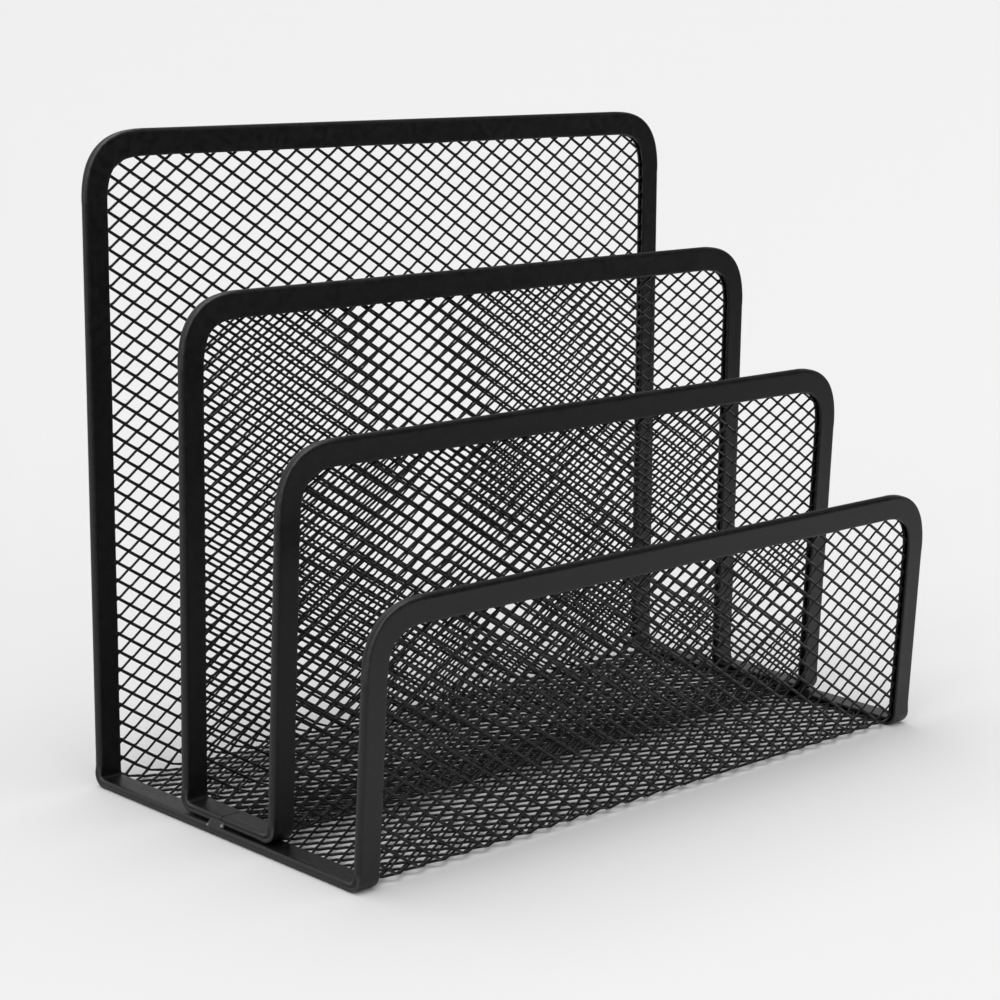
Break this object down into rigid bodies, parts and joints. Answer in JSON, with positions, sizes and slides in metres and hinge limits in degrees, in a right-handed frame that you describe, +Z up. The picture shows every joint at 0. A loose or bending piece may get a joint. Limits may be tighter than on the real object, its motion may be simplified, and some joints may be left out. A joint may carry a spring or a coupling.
{
  "type": "letter rack",
  "caption": "Desk letter rack of black expanded-steel mesh: stepped upright walls on a mesh floor, bound by folded steel edge strips, with open-ended slots for letters.",
  "frame": {"origin": "middle of the rack's overall box, on the surface it stands on", "axes": "+X across the rack to its right, +Y to its tall rear wall, +Z up"},
  "size_m": [0.172, 0.089, 0.1356],
  "materials": {
    "mesh": "black powder coat on expanded steel sheet, satin",
    "strip": "black powder coat on folded steel strip, satin",
    "weld": "black powder coat over a tack weld, satin"
  },
  "bodies": {
    "root": {"outer_rear_mesh": "mesh", "outer_floor_mesh": "mesh", "outer_front_mesh": "mesh", "outer_edge_strip": "strip", "divider_rear_mesh": "mesh", "divider_floor_mesh": "mesh", "divider_front_mesh": "mesh", "divider_edge_strip": "strip", "tack_weld_left": "weld", "tack_weld_right": "weld"}
  },
  "joints": []
}
